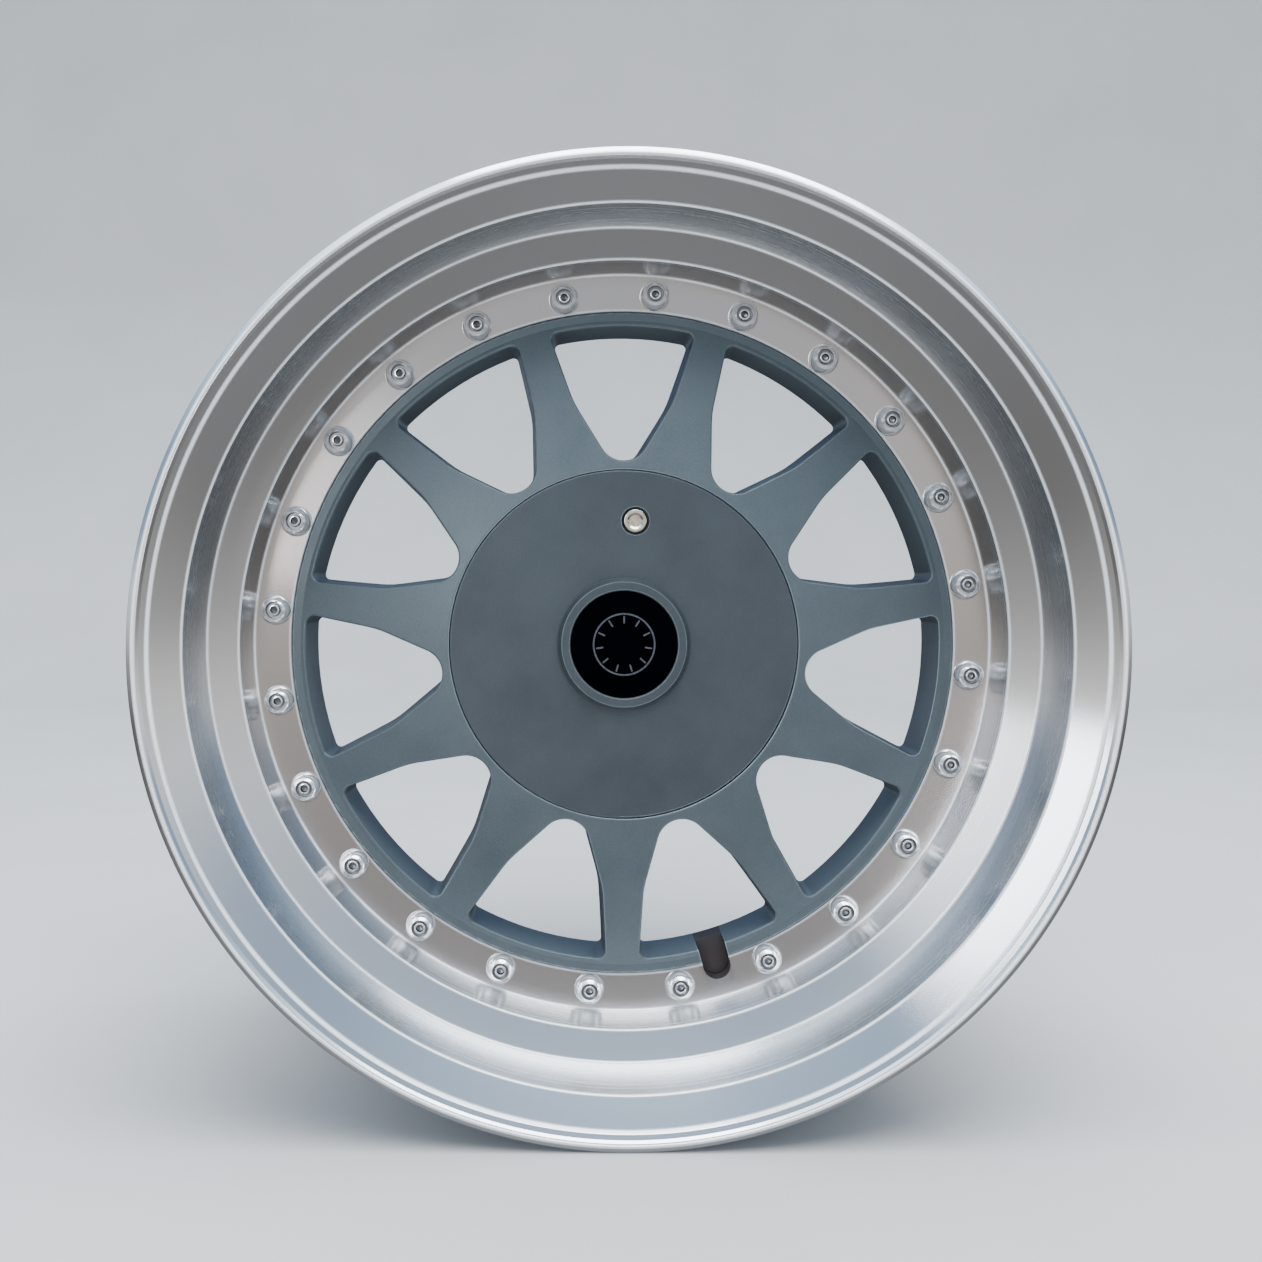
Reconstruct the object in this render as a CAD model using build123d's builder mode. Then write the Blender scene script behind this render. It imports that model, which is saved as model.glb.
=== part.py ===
from build123d import *
import os
from math import cos, radians, sin

# Forged modular wheel, 15 x 8 inch: a stepped outer lip half, an inner barrel half and a forged
# eleven-spoke centre, clamped together by a ring of through bolts.
# Millimetres. The wheel's axis is Y, the street side faces -Y and +Z is up. The origin is the
# centre of the face that sits against the hub. Radii are measured from the axis, and depths from
# the foremost edge of the lip.

# Rim standard
RIM_WIDTH = 203.2
BEAD_R = 190.1
FLANGE_HEIGHT = 17.5
FLANGE_CURL = 9.5
FLANGE_LEAD = 12.4
BEAD_TOE = 6.5
OFFSET = 20.0
RIM_R = BEAD_R + FLANGE_HEIGHT
TOTAL_WIDTH = RIM_WIDTH + 2 * FLANGE_LEAD
FRONT = OFFSET - TOTAL_WIDTH / 2
HUB_DEPTH = -FRONT

# Clamped joint between the three forgings
WELL_R = 172.8
SPIGOT_R = 168.9
JOINT_R = 152.3
LIP_FLANGE_DEPTH = 68.0
SEAM_DEPTH = 76.0
INNER_FLANGE_DEPTH = 86.0
INNER_FLANGE_BACK = 92.0
CENTRE_FLANGE_R = 168.6

# Rim bolts
BOLTS = 24
BOLT_CIRCLE_R = 160.0
BOLT_CLOCK = 5.4
BOLT_R = 3.5
BOLT_HOLE_R = 3.65
HEAD_R = 7.0
HEAD_EDGE = 0.9
HEAD_HEIGHT = 5.8
RECESS_R = 3.85
BOSS_R = 2.55
SOCKET_R = 1.75
SOCKET_DEPTH = 3.0
WASHER_R = 6.6
WASHER_THICK = 1.2
NUT_FLATS = 11.0
NUT_HEIGHT = 6.0
THREAD_OUT = 1.6
BOLT_LENGTH = INNER_FLANGE_BACK + WASHER_THICK + NUT_HEIGHT + THREAD_OUT - LIP_FLANGE_DEPTH

# Spoked centre
SPOKES = 11
RING_R = 152.0
RING_FACE_DEPTH = 65.4
RING_BACK_DEPTH = 91.0
WINDOW_R = 145.8
WINDOW_CORNER_R = 4.5
WINDOW_HALF_WIDTH = 34.5
WINDOW_TOP = 141.7
WINDOW_KNEE = (22.6, 108.9)
WINDOW_KNEE_R = 45.0
WINDOW_APEX = 72.0
WINDOW_END_R = 11.2
WINDOW_DRAFT = 3.0
SPOKE_EDGE_R = 0.9
HUB_FACE_DEPTH = 50.0
HUB_BACK_R = 78.0
BORE_R = 36.55
POCKET_R = 71.5
POCKET_DEPTH = 80.0
SPOKE_HOLLOW_R = 116.0
SPOKE_HOLLOW_LENGTH = 38.0
SPOKE_HOLLOW_WIDTH = 8.5
SPOKE_HOLLOW_HEIGHT = 14.0
SPOKE_HOLLOW_DRAFT = 4.0
LUG_HOLES = 4
LUG_HOLE_R = 6.75
LUG_SEAT_R = 11.0
LUG_SEAT_ANGLE = 60
LUG_CIRCLES = (50.0, 57.15)
LUG_CLOCK = 27.9
VALVE_CLOCK = 5 * 360 / SPOKES
VALVE_NOTCH_WIDTH = 12.6
VALVE_NOTCH_R = 161.3
VALVE_NOTCH_FLOOR = 78.5
VALVE_HOLE_R = 5.75
VALVE_DEPTH = 108.0
VALVE_PAD_R = 165.0
VALVE_PAD_LENGTH = 20.0
VALVE_PAD_WIDTH = 22.0
VALVE_PAD_CORNER_R = 6.0
VALVE_FLAT_R = 171.6
VALVE_SPOTFACE_R = 9.5

# Hub cover and its fixings
COVER_R = 77.9
COVER_SEAT_R = 78.2
COVER_THICK = 4.0
COVER_SPIGOT_R = 71.1
COVER_SPIGOT_DEPTH = 61.0
FIXING_R = 55.4
FIXING_CLOCK = 5.4
FIXING_BOSS_R = 7.0
FIXING_BOSS_DEPTH = 58.4
COVER_BOSS_DEPTH = 56.6
COVER_WALL = 2.2
COVER_BOSS_WALL = 1.8
COVER_RIBS = 8
COVER_RIB_THICK = 1.8
COUNTERBORE_R = 6.3
SCREW_HEAD_R = 5.3
SCREW_HEAD_HEIGHT = 3.2
SCREW_HEAD_EDGE = 0.6
SCREW_SEAT_DEPTH = 53.6
SCREW_R = 2.5
SCREW_HOLE_R = 2.85
SCREW_TIP_DEPTH = 70.0
SCREW_SOCKET_R = 2.5
SCREW_SOCKET_MOUTH_R = 3.7
SCREW_SOCKET_FLOOR = 0.9
INSERT_R = 3.9
INSERT_DEPTH = SCREW_TIP_DEPTH + 3
PIN_R = 2.0
PIN_HOLE_R = 2.3
PIN_GRIP = 12.0
PIN_CLOCKS = (FIXING_CLOCK + 135, FIXING_CLOCK + 225)

# Centre cap
CAP_R = 29.8
CAP_FACE_R = 27.9
CAP_FACE_DEPTH = 46.4
BADGE_R = 23.8
BADGE_DEPTH = 47.1
BADGE_THICK = 1.2
CAP_HOLE_R = 25.5
CAP_LEG_R = 25.2
CAP_LEG_WALL = 1.8
CAP_LEG_DEPTH = 63.5
CAP_LEGS = 6
CAP_WIRE_R = 0.75
EMBLEM_R = 14.0
EMBLEM_LINE = 0.8
EMBLEM_THICK = 0.25


def at(radius, depth):
    """A profile point in the half plane that is turned about the wheel's axis."""
    return (radius, FRONT + depth)


def round_corners(profile, corners):
    """Round those corners of a profile that are listed with a rounding, as (radius, depth, rounding)."""
    for radius, depth, rounding in corners:
        if rounding:
            corner = profile.vertices().sort_by_distance(at(radius, depth))[0]
            fillet(corner, rounding)


def turned_profile(*corners):
    """A closed profile of straight runs between (radius, depth, rounding) corners."""
    with BuildSketch(Plane.XY, mode=Mode.PRIVATE) as profile:
        with BuildLine():
            Polyline([at(radius, depth) for radius, depth, _ in corners], close=True)
        make_face()
        round_corners(profile, corners)
    return profile.sketch


def facing(depth):
    """The plane at a depth, seen from the street side: X to the right, Y up, normal to the viewer."""
    return Plane.XZ.offset(HUB_DEPTH - depth)


def clocked(radius, clock, count=1):
    """Places on a circle, counted clockwise from the top as seen from the street side."""
    return PolarLocations(radius, count, start_angle=90 - clock)


def valve_notch():
    """The round-ended notch for the valve, open towards the hub, as a sketch at its clock angle."""
    with BuildSketch(mode=Mode.PRIVATE) as slot:
        with Locations((0, VALVE_NOTCH_R - VALVE_NOTCH_WIDTH / 2)):
            Circle(VALVE_NOTCH_WIDTH / 2)
            Rectangle(VALVE_NOTCH_WIDTH, 30, align=(Align.CENTER, Align.MAX))
    return slot.sketch.rotate(Axis.Z, -VALVE_CLOCK)


def across_valve(radius):
    """The plane across the valve hole's axis at a distance from the wheel's axis, facing outwards."""
    outwards = Vector(sin(radians(VALVE_CLOCK)), 0, cos(radians(VALVE_CLOCK)))
    return Plane(Vector(0, FRONT + VALVE_DEPTH, 0) + outwards * radius, x_dir=(0, 1, 0), z_dir=outwards)


# Outer rim half: rolled flange, two stepped walls of the dish, the polished bolting flange
with BuildPart() as outer_rim_half:
    revolve(
        turned_profile(
            # bolting flange and the inner, smaller wall
            (JOINT_R, LIP_FLANGE_DEPTH, 0.5),
            (169.4, LIP_FLANGE_DEPTH, 0.9),
            (170.9, 45.2, 0.9),
            # step up to the outer, larger wall
            (184.6, 42.2, 1.2),
            (185.9, 8.0, 1.1),
            # broad sloping land, with a bead and groove before the rolled edge
            (198.9, 3.7, 0.5),
            (200.2, 2.5, 0.5),
            (202.2, 1.9, 0.6),
            (203.3, 0.7, 0.25),
            (203.7, 0.9, 0.15),
            (204.0, 0.0, 0.5),
            (207.3, 1.9, 0.8),
            # tyre side: rolled edge, bead seat, safety hump, step down to the well
            (RIM_R, FLANGE_LEAD, FLANGE_CURL),
            (BEAD_R, FLANGE_LEAD, BEAD_TOE),
            (188.5, 32.0, 4.0),
            (189.3, 37.0, 5.0),
            (187.9, 42.0, 3.0),
            (187.2, 46.0, 3.0),
            (174.6, 52.5, 5.0),
            (WELL_R, 58.0, 6.0),
            (WELL_R, SEAM_DEPTH, 0),
            (JOINT_R, SEAM_DEPTH, 0),
        ),
        axis=Axis.Y,
    )
    with BuildSketch(facing(LIP_FLANGE_DEPTH)):
        with clocked(BOLT_CIRCLE_R, BOLT_CLOCK, BOLTS):
            Circle(BOLT_HOLE_R)
        add(valve_notch())
    extrude(amount=LIP_FLANGE_DEPTH - SEAM_DEPTH - 1, mode=Mode.SUBTRACT)

# Inner rim half: barrel with the well, the inboard bead seat and flange, and the clamping flange
with BuildPart() as inner_rim_half:
    revolve(
        turned_profile(
            (JOINT_R, INNER_FLANGE_DEPTH, 0),
            (SPIGOT_R, INNER_FLANGE_DEPTH, 0),
            (SPIGOT_R, SEAM_DEPTH, 0),
            # tyre side, from the seam to the inboard flange
            (WELL_R, SEAM_DEPTH, 0),
            (WELL_R, 126.0, 14.0),
            (184.6, 162.0, 18.0),
            (187.9, TOTAL_WIDTH - 43.0, 4.0),
            (189.3, TOTAL_WIDTH - 37.5, 5.0),
            (188.5, TOTAL_WIDTH - 32.0, 4.0),
            (BEAD_R, TOTAL_WIDTH - FLANGE_LEAD, BEAD_TOE),
            (RIM_R, TOTAL_WIDTH - FLANGE_LEAD, FLANGE_CURL),
            (207.2, TOTAL_WIDTH - 1.4, 1.0),
            (203.4, TOTAL_WIDTH, 1.2),
            # brake side, back to the clamping flange
            (199.6, TOTAL_WIDTH - 5.4, 4.0),
            (190.2, TOTAL_WIDTH - 7.4, 5.0),
            (185.2, TOTAL_WIDTH - 15.0, 6.0),
            (184.2, TOTAL_WIDTH - 43.0, 6.0),
            (180.6, 162.0, 18.0),
            (SPIGOT_R, 127.0, 14.0),
            (SPIGOT_R, INNER_FLANGE_BACK, 1.2),
            (JOINT_R, INNER_FLANGE_BACK, 0.5),
        ),
        axis=Axis.Y,
    )
    with BuildSketch(facing(INNER_FLANGE_DEPTH)):
        with clocked(BOLT_CIRCLE_R, BOLT_CLOCK, BOLTS):
            Circle(BOLT_HOLE_R)
    extrude(amount=INNER_FLANGE_DEPTH - INNER_FLANGE_BACK - 1, mode=Mode.SUBTRACT)
    # thickened pad around the valve hole, flat on both sides so that the valve seals
    with BuildSketch(across_valve(VALVE_PAD_R)):
        RectangleRounded(VALVE_PAD_LENGTH, VALVE_PAD_WIDTH, VALVE_PAD_CORNER_R)
    extrude(amount=SPIGOT_R + 1 - VALVE_PAD_R)
    with BuildSketch(across_valve(VALVE_FLAT_R)):
        Circle(VALVE_SPOTFACE_R)
    extrude(amount=WELL_R + 1 - VALVE_FLAT_R, mode=Mode.SUBTRACT)
    with BuildSketch(across_valve(VALVE_PAD_R - 1)):
        Circle(VALVE_HOLE_R)
    extrude(amount=WELL_R + 2 - VALVE_PAD_R, mode=Mode.SUBTRACT)

# One window of the spoked centre, pointing up, wide at the rim and rounded off at the hub
with BuildSketch() as window:
    with BuildLine():
        edge = Polyline((WINDOW_HALF_WIDTH, WINDOW_TOP), WINDOW_KNEE, (0, WINDOW_APEX))
        ThreePointArc(edge @ 0, (0, WINDOW_R), (-WINDOW_HALF_WIDTH, WINDOW_TOP))
        mirror(edge, about=Plane.YZ)
    make_face()
    fillet(window.vertices().sort_by(Axis.Y)[0], WINDOW_END_R)
    fillet(window.vertices().group_by(Axis.Y)[-1], WINDOW_CORNER_R)
    knees = window.vertices().filter_by_position(Axis.Y, WINDOW_KNEE[1] - 1, WINDOW_KNEE[1] + 1)
    fillet(knees, WINDOW_KNEE_R)

# Turned outline of the spoked centre, as (radius, depth, rounding) corners: round the ring from the
# crowned front to the hollowed back, then round the hub from the back to the front. An arc through
# one middle point closes each gap.
RING_CORNERS = (
    (147.6, RING_FACE_DEPTH - 0.1, 0),
    (151.2, RING_FACE_DEPTH + 0.2, 0.4),
    (RING_R, RING_FACE_DEPTH + 1.2, 0.3),
    (RING_R, SEAM_DEPTH, 0),
    (CENTRE_FLANGE_R, SEAM_DEPTH, 0.3),
    (CENTRE_FLANGE_R, INNER_FLANGE_DEPTH, 0.3),
    (RING_R, INNER_FLANGE_DEPTH, 0),
    (RING_R, RING_BACK_DEPTH, 1.0),
    (146.0, RING_BACK_DEPTH, 0),
)
HUB_CORNERS = (
    (82.5, RING_BACK_DEPTH - 0.7, 0),
    (HUB_BACK_R, RING_BACK_DEPTH - 0.5, 1.5),
    (HUB_BACK_R - 2, HUB_DEPTH, 1.0),
    (BORE_R, HUB_DEPTH, 0),
    (BORE_R, POCKET_DEPTH, 0.8),
    (POCKET_R, POCKET_DEPTH, 3.0),
    (POCKET_R, HUB_FACE_DEPTH + COVER_THICK, 0.4),
    (COVER_SEAT_R, HUB_FACE_DEPTH + COVER_THICK, 0.3),
    (COVER_SEAT_R, HUB_FACE_DEPTH, 0.4),
    (79.2, HUB_FACE_DEPTH, 0),
)
CROWN_MIDDLE = (113.0, 56.5)
BACK_MIDDLE = (116.0, 85.5)

# Spoked centre: crowned front, hollow-backed spokes, hub cup with the lug seats
with BuildPart() as wheel_centre:
    with BuildSketch(Plane.XY) as centre_profile:
        with BuildLine():
            ThreePointArc(at(*HUB_CORNERS[-1][:2]), at(*CROWN_MIDDLE), at(*RING_CORNERS[0][:2]))
            Polyline([at(radius, depth) for radius, depth, _ in RING_CORNERS])
            ThreePointArc(at(*RING_CORNERS[-1][:2]), at(*BACK_MIDDLE), at(*HUB_CORNERS[0][:2]))
            Polyline([at(radius, depth) for radius, depth, _ in HUB_CORNERS])
        make_face()
        round_corners(centre_profile, RING_CORNERS + HUB_CORNERS)
    revolve(axis=Axis.Y)
    with BuildSketch(facing(HUB_FACE_DEPTH)):
        with PolarLocations(0, SPOKES):
            add(window.sketch)
    extrude(amount=HUB_FACE_DEPTH - HUB_DEPTH - 4, taper=WINDOW_DRAFT, mode=Mode.SUBTRACT)
    # soften the spokes' edges, on the crowned front and on the hollowed back
    for end in (0, -1):
        broad_face = wheel_centre.faces().sort_by(SortBy.AREA)[-2:].sort_by(Axis.Y)[end]
        fillet(broad_face.inner_wires().edges(), SPOKE_EDGE_R)
    # weight-saving hollow in the back of each spoke
    with BuildSketch(facing(HUB_DEPTH - 2)):
        with PolarLocations(SPOKE_HOLLOW_R, SPOKES, start_angle=90 - 180 / SPOKES):
            SlotOverall(SPOKE_HOLLOW_LENGTH, SPOKE_HOLLOW_WIDTH)
    extrude(amount=SPOKE_HOLLOW_HEIGHT, taper=SPOKE_HOLLOW_DRAFT, mode=Mode.SUBTRACT)
    with BuildSketch(facing(SEAM_DEPTH)):
        with clocked(BOLT_CIRCLE_R, BOLT_CLOCK, BOLTS):
            Circle(BOLT_HOLE_R)
    extrude(amount=SEAM_DEPTH - INNER_FLANGE_DEPTH - 1, mode=Mode.SUBTRACT)
    # room for the valve, behind the notch in the lip's bolting flange
    with BuildSketch(facing(HUB_FACE_DEPTH)):
        add(valve_notch())
    extrude(amount=HUB_FACE_DEPTH - VALVE_NOTCH_FLOOR, mode=Mode.SUBTRACT)
    with BuildSketch(facing(POCKET_DEPTH)):
        with clocked(FIXING_R, FIXING_CLOCK):
            Circle(FIXING_BOSS_R)
        for pin_clock in PIN_CLOCKS:
            with clocked(FIXING_R, pin_clock):
                Circle(FIXING_BOSS_R - 1)
    extrude(amount=POCKET_DEPTH - FIXING_BOSS_DEPTH)
    for turn, lug_circle_r in enumerate(LUG_CIRCLES):
        with Locations(facing(POCKET_DEPTH)):
            with clocked(lug_circle_r, LUG_CLOCK + turn * 180 / LUG_HOLES, LUG_HOLES):
                CounterSinkHole(LUG_HOLE_R, LUG_SEAT_R, 30, LUG_SEAT_ANGLE)
    with Locations(facing(FIXING_BOSS_DEPTH)):
        with clocked(FIXING_R, FIXING_CLOCK):
            Hole(INSERT_R, INSERT_DEPTH - FIXING_BOSS_DEPTH)
        for pin_clock in PIN_CLOCKS:
            with clocked(FIXING_R, pin_clock):
                Hole(PIN_R, PIN_GRIP)

# Rim bolt: domed head with a ring-shaped recess around a socketed boss, shank with a chamfered end.
# It stands on its seat with the head along +Z.
with BuildPart() as rim_bolt:
    with BuildSketch(Plane.XZ):
        with BuildLine():
            crest = RECESS_R + 0.3
            Polyline(
                (0, HEAD_HEIGHT - 0.4),
                (BOSS_R - 0.3, HEAD_HEIGHT - 0.4),
                (BOSS_R, HEAD_HEIGHT - 0.7),
                (BOSS_R, HEAD_HEIGHT - 2.0),
                (RECESS_R, HEAD_HEIGHT - 2.0),
                (RECESS_R, HEAD_HEIGHT - 0.2),
                (crest, HEAD_HEIGHT),
            )
            EllipticalCenterArc((crest, HEAD_EDGE), HEAD_R - crest, HEAD_HEIGHT - HEAD_EDGE, arc_size=90)
            Polyline(
                (HEAD_R, HEAD_EDGE),
                (HEAD_R, 0),
                (BOLT_R, 0),
                (BOLT_R, 0.6 - BOLT_LENGTH),
                (BOLT_R - 0.6, -BOLT_LENGTH),
                (0, -BOLT_LENGTH),
                (0, HEAD_HEIGHT - 0.4),
            )
        make_face()
    revolve(axis=Axis.Z)
    with BuildSketch(Plane.XY.offset(HEAD_HEIGHT - 0.4)):
        RegularPolygon(SOCKET_R, 6, major_radius=False)
    extrude(amount=-SOCKET_DEPTH, mode=Mode.SUBTRACT)

with BuildPart() as rim_bolts:
    with Locations(facing(LIP_FLANGE_DEPTH)):
        with clocked(BOLT_CIRCLE_R, BOLT_CLOCK, BOLTS):
            add(rim_bolt.part)

# Plain washers under the nuts, on the brake side of the inner flange
with BuildPart() as nut_washers:
    with BuildSketch(facing(INNER_FLANGE_BACK)):
        with clocked(BOLT_CIRCLE_R, BOLT_CLOCK, BOLTS):
            Circle(WASHER_R)
            Circle(BOLT_HOLE_R, mode=Mode.SUBTRACT)
    extrude(amount=-WASHER_THICK)

# Hexagon nuts with both faces chamfered
with BuildPart() as rim_nut:
    with BuildSketch():
        RegularPolygon(NUT_FLATS / 2, 6, major_radius=False)
        Circle(BOLT_HOLE_R, mode=Mode.SUBTRACT)
    extrude(amount=-NUT_HEIGHT)
    with BuildSketch(Plane.XZ):
        with BuildLine():
            corner_r = NUT_FLATS / 2 / cos(radians(30))
            Polyline(
                (0, 0),
                (NUT_FLATS / 2 - 0.1, 0),
                (corner_r, -0.55),
                (corner_r, 0.55 - NUT_HEIGHT),
                (NUT_FLATS / 2 - 0.1, -NUT_HEIGHT),
                (0, -NUT_HEIGHT),
                close=True,
            )
        make_face()
    revolve(axis=Axis.Z, mode=Mode.INTERSECT)

with BuildPart() as rim_nuts:
    with Locations(facing(INNER_FLANGE_BACK + WASHER_THICK)):
        with clocked(BOLT_CIRCLE_R, BOLT_CLOCK, BOLTS):
            add(rim_nut.part)

# Bead of sealant laid round the well, over the seam between the two halves
with BuildPart() as seam_sealant:
    with BuildSketch(Plane.XY):
        with BuildLine():
            bead_line = Line(at(WELL_R + 0.02, SEAM_DEPTH - 6), at(WELL_R + 0.02, SEAM_DEPTH + 6))
            ThreePointArc(bead_line @ 0, at(WELL_R + 1.8, SEAM_DEPTH), bead_line @ 1)
        make_face()
    revolve(axis=Axis.Y)

# Hub cover: flat painted disc over the lug nuts, with a locating rim, ribs and fixing bosses behind
with BuildPart() as hub_cover:
    revolve(
        turned_profile(
            (CAP_HOLE_R, HUB_FACE_DEPTH, 0),
            (COVER_R, HUB_FACE_DEPTH, 0.6),
            (COVER_R, HUB_FACE_DEPTH + COVER_THICK, 0.3),
            (COVER_SPIGOT_R, HUB_FACE_DEPTH + COVER_THICK, 0),
            (COVER_SPIGOT_R, COVER_SPIGOT_DEPTH, 0.4),
            (COVER_SPIGOT_R - COVER_WALL, COVER_SPIGOT_DEPTH, 0.4),
            (COVER_SPIGOT_R - COVER_WALL, HUB_FACE_DEPTH + COVER_THICK, 1.0),
            (CAP_HOLE_R + COVER_WALL, HUB_FACE_DEPTH + COVER_THICK, 1.0),
            (CAP_HOLE_R + COVER_WALL, COVER_SPIGOT_DEPTH, 0.4),
            (CAP_HOLE_R, COVER_SPIGOT_DEPTH, 0.4),
        ),
        axis=Axis.Y,
    )
    # radial ribs behind the disc, between the fixing bosses
    with BuildSketch(facing(COVER_SPIGOT_DEPTH - 1)):
        with clocked((CAP_HOLE_R + COVER_SPIGOT_R) / 2, FIXING_CLOCK + 22.5, COVER_RIBS):
            Rectangle(COVER_SPIGOT_R - CAP_HOLE_R - 3, COVER_RIB_THICK)
    extrude(amount=COVER_SPIGOT_DEPTH - 1 - HUB_FACE_DEPTH - COVER_THICK / 2)
    with BuildSketch(facing(COVER_BOSS_DEPTH)):
        for boss_clock in (FIXING_CLOCK, *PIN_CLOCKS):
            with clocked(FIXING_R, boss_clock):
                Circle(COUNTERBORE_R + COVER_BOSS_WALL)
    extrude(amount=COVER_BOSS_DEPTH - HUB_FACE_DEPTH - COVER_THICK / 2)
    with Locations(facing(HUB_FACE_DEPTH)):
        with clocked(FIXING_R, FIXING_CLOCK):
            CounterBoreHole(SCREW_HOLE_R, COUNTERBORE_R, SCREW_SEAT_DEPTH - HUB_FACE_DEPTH)
    with BuildSketch(facing(COVER_BOSS_DEPTH)):
        for pin_clock in PIN_CLOCKS:
            with clocked(FIXING_R, pin_clock):
                Circle(PIN_HOLE_R)
    extrude(amount=COVER_BOSS_DEPTH - HUB_FACE_DEPTH - 2, mode=Mode.SUBTRACT)

# Cover screw: low round head with a hexagon socket, held captive by a ring under the cover's boss
with BuildPart() as cover_screw_blank:
    with BuildSketch(Plane.XZ):
        with BuildLine():
            shank_end = SCREW_SEAT_DEPTH - SCREW_TIP_DEPTH
            mouth_floor = SCREW_HEAD_HEIGHT - SCREW_HEAD_EDGE
            head_edge = RadiusArc(
                (SCREW_HEAD_R - SCREW_HEAD_EDGE, SCREW_HEAD_HEIGHT),
                (SCREW_HEAD_R, mouth_floor),
                SCREW_HEAD_EDGE,
            )
            Polyline(
                head_edge @ 1,
                (SCREW_HEAD_R, 0),
                (SCREW_R, 0),
                (SCREW_R, shank_end + 0.5),
                (SCREW_R - 0.5, shank_end),
                (0, shank_end),
                (0, mouth_floor),
                (SCREW_SOCKET_R + 0.2, mouth_floor),
                (SCREW_SOCKET_MOUTH_R, SCREW_HEAD_HEIGHT),
                head_edge @ 0,
            )
        make_face()
    revolve(axis=Axis.Z)
    with BuildSketch(Plane.XY.offset(SCREW_HEAD_HEIGHT)):
        RegularPolygon(SCREW_SOCKET_R, 6, major_radius=False)
    extrude(amount=SCREW_SOCKET_FLOOR - SCREW_HEAD_HEIGHT, mode=Mode.SUBTRACT)

with BuildPart() as cover_screw:
    with Locations(facing(SCREW_SEAT_DEPTH)):
        with clocked(FIXING_R, FIXING_CLOCK):
            add(cover_screw_blank.part)

with BuildPart() as screw_retainer:
    with BuildSketch(facing(COVER_BOSS_DEPTH + 0.1)):
        with clocked(FIXING_R, FIXING_CLOCK):
            Circle(SCREW_R + 1.9)
            Circle(SCREW_R, mode=Mode.SUBTRACT)
    extrude(amount=-1.0)

# Brass thread insert pressed into the fixing boss of the centre
with BuildPart() as thread_insert:
    with BuildSketch(facing(FIXING_BOSS_DEPTH)):
        with clocked(FIXING_R, FIXING_CLOCK):
            Circle(INSERT_R)
            Circle(SCREW_R + 0.08, mode=Mode.SUBTRACT)
    extrude(amount=FIXING_BOSS_DEPTH - INSERT_DEPTH)

# Two dowels pressed into the centre, which the cover's bosses slip over
with BuildPart() as cover_dowels:
    with BuildSketch(facing(FIXING_BOSS_DEPTH + PIN_GRIP)):
        for pin_clock in PIN_CLOCKS:
            with clocked(FIXING_R, pin_clock):
                Circle(PIN_R)
    extrude(amount=PIN_GRIP + FIXING_BOSS_DEPTH - HUB_FACE_DEPTH - 3)
    chamfer(cover_dowels.faces().group_by(Axis.Y)[0].edges(), 0.5)

# Centre cap: ring-shaped bezel with a bevelled edge, a floor for the badge, and snap legs behind
with BuildPart() as centre_cap:
    revolve(
        turned_profile(
            (0, BADGE_DEPTH + BADGE_THICK, 0),
            (BADGE_R + 0.1, BADGE_DEPTH + BADGE_THICK, 0),
            (BADGE_R + 0.1, BADGE_DEPTH, 0),
            (BADGE_R + 0.5, CAP_FACE_DEPTH, 0.15),
            (CAP_FACE_R, CAP_FACE_DEPTH, 0.2),
            (CAP_FACE_R + 0.2, CAP_FACE_DEPTH + 0.35, 0),
            (CAP_R - 0.2, HUB_FACE_DEPTH - 1.0, 0.3),
            (CAP_R, HUB_FACE_DEPTH, 0),
            (CAP_LEG_R, HUB_FACE_DEPTH, 0),
            (CAP_LEG_R, CAP_LEG_DEPTH, 0.5),
            (CAP_LEG_R - CAP_LEG_WALL, CAP_LEG_DEPTH, 0.3),
            (CAP_LEG_R - CAP_LEG_WALL, HUB_FACE_DEPTH + 1.4, 0.6),
            (0, HUB_FACE_DEPTH + 1.4, 0),
        ),
        axis=Axis.Y,
    )
    # the wire ring's groove inside the legs, then the gaps between the legs
    with BuildSketch(Plane.XY):
        with Locations(at(CAP_LEG_R - CAP_LEG_WALL, CAP_LEG_DEPTH - 3)):
            Circle(CAP_WIRE_R)
    revolve(axis=Axis.Y, mode=Mode.SUBTRACT)
    with BuildSketch(facing(CAP_LEG_DEPTH + 1)):
        with PolarLocations(CAP_LEG_R, CAP_LEGS):
            Rectangle(12, 11)
    extrude(amount=CAP_LEG_DEPTH - HUB_FACE_DEPTH - 2, mode=Mode.SUBTRACT)

# Split wire ring that spreads the cap's legs
with BuildPart() as cap_spring_ring:
    with BuildLine(facing(CAP_LEG_DEPTH - 3)):
        ring_path = CenterArc((0, 0), CAP_LEG_R - CAP_LEG_WALL, 100, 340)
    with BuildSketch(Plane(ring_path @ 0, z_dir=ring_path % 0)):
        Circle(CAP_WIRE_R - 0.08)
    sweep(path=ring_path)

# Gloss badge disc lying in the cap, and a plain ring with short dashes on it
with BuildPart() as cap_badge:
    with BuildSketch(facing(BADGE_DEPTH + BADGE_THICK)):
        Circle(BADGE_R)
    extrude(amount=BADGE_THICK)
    fillet(cap_badge.edges().filter_by(GeomType.CIRCLE).group_by(Axis.Y)[0], 0.35)

with BuildPart() as cap_emblem:
    with BuildSketch(facing(BADGE_DEPTH)):
        Circle(EMBLEM_R)
        Circle(EMBLEM_R - EMBLEM_LINE, mode=Mode.SUBTRACT)
        with PolarLocations(EMBLEM_R - 3, SPOKES, start_angle=90):
            SlotOverall(3.4, EMBLEM_LINE)
    extrude(amount=EMBLEM_THICK)

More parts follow.
